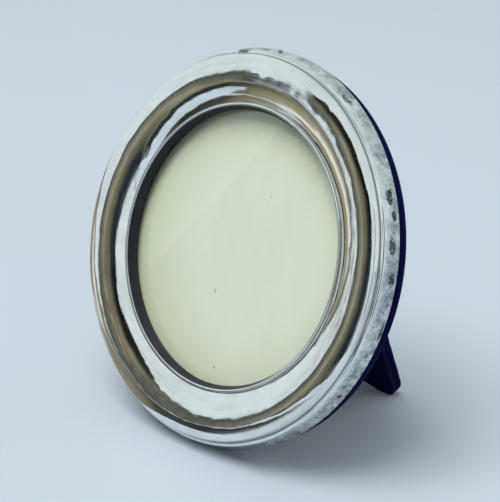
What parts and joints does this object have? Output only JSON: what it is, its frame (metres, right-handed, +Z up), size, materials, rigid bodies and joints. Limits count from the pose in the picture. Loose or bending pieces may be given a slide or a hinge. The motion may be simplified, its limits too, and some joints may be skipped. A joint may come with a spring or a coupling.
{
  "type": "round easel picture frame",
  "caption": "Round picture frame with a pressed silver front over a wooden ring, glass, and a velvet back with a folding strut.",
  "frame": {"origin": "on the floor, where the rim of the leaning frame meets it on the centre line", "axes": "+Z up, -Y is the way the frame faces, +X to the right of someone looking at the picture"},
  "size_m": [0.1016, 0.063, 0.097],
  "materials": {
    "silver": "polished sterling silver sheet, worn and lightly tarnished",
    "dark_wood": "turned softwood, stained blue-black at the sight edge",
    "glass": "thin clear picture glass",
    "paper": "plain aged pale green cream paper, matte, lightly foxed",
    "card": "grey-brown backing card",
    "board": "thin bare softwood board",
    "velvet": "midnight blue short-pile velvet, worn at the edges",
    "brass": "dull aged sheet brass",
    "steel": "drawn steel wire"
  },
  "bodies": {
    "frame": {"silver_front": "silver", "skirt_pins": "silver", "former_ring": "dark_wood", "glass": "glass", "picture_paper": "paper", "backing_card": "card", "back_ring_board": "board", "back_panel_board": "board", "back_ring_velvet": "velvet", "back_panel_velvet": "velvet", "ring_brads": "steel", "hinge_pin": "steel", "hinge_panel_leaf": "brass", "panel_rivets": "brass", "turn_button_screws": "brass"},
    "strut": {"strut_board": "board", "strut_velvet": "velvet", "hinge_strut_leaf": "brass", "strut_rivets": "brass"},
    "button_upper_right": {"turn_button_upper_right": "brass"},
    "button_upper_left": {"turn_button_upper_left": "brass"},
    "button_lower_left": {"turn_button_lower_left": "brass"},
    "button_lower_right": {"turn_button_lower_right": "brass"}
  },
  "joints": [
    {"name": "strut_fold", "type": "hinge", "parent": "frame", "child": "strut", "pos_m": [0, 0.02785, 0.0737], "axis": [1, 0, 0], "range_deg": [-37.3, 0]},
    {"name": "button_upper_right_turn", "type": "hinge", "parent": "frame", "child": "button_upper_right", "pos_m": [0.03307, 0.0264, 0.07502], "axis": [0, 0.9455, -0.3256], "continuous": true},
    {"name": "button_upper_left_turn", "type": "hinge", "parent": "frame", "child": "button_upper_left", "pos_m": [-0.03307, 0.0264, 0.07502], "axis": [0, 0.9455, -0.3256], "continuous": true},
    {"name": "button_lower_left_turn", "type": "hinge", "parent": "frame", "child": "button_lower_left", "pos_m": [-0.04232, 0.01223, 0.03387], "axis": [0, 0.9455, -0.3256], "continuous": true},
    {"name": "button_lower_right_turn", "type": "hinge", "parent": "frame", "child": "button_lower_right", "pos_m": [0.04232, 0.01223, 0.03387], "axis": [0, 0.9455, -0.3256], "continuous": true}
  ]
}
